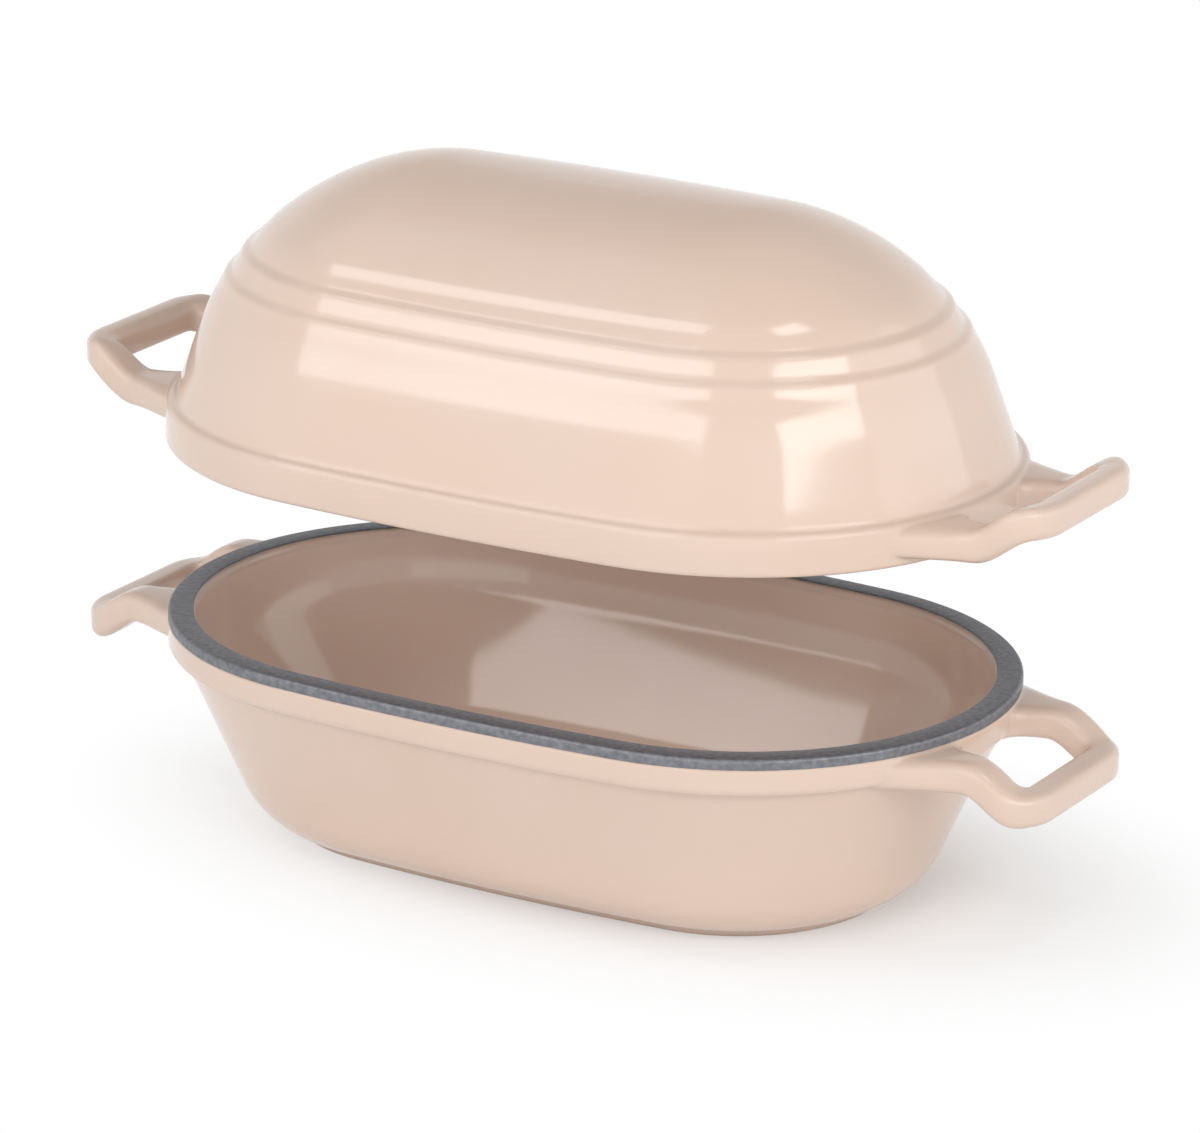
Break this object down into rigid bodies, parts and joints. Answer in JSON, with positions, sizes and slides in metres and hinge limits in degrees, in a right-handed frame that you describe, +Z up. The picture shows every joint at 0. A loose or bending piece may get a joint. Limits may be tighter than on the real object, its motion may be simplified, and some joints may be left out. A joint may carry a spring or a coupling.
{
  "type": "oval dutch oven",
  "caption": "Oval enamelled cast-iron bread oven: a shallow pan with a bare iron rim under a tall stepped dome lid, each cast with looped handles at both ends.",
  "frame": {"origin": "middle of the pan's foot, on the table", "axes": "+X along the oven towards one handle, +Y across it, +Z up"},
  "size_m": [0.3684, 0.192, 0.232],
  "materials": {
    "enamel": "glossy sand-coloured vitreous enamel over cast iron",
    "iron": "bare seasoned iron, ground flat"
  },
  "bodies": {
    "pan": {"pan_body": "enamel", "pan_rim": "iron"},
    "lid": {"lid_body": "enamel", "lid_rim": "iron"}
  },
  "joints": [
    {"name": "lid_lift", "type": "slide", "parent": "pan", "child": "lid", "axis": [0, 0, 1], "range_m": [-0.0597, 0.06]}
  ]
}
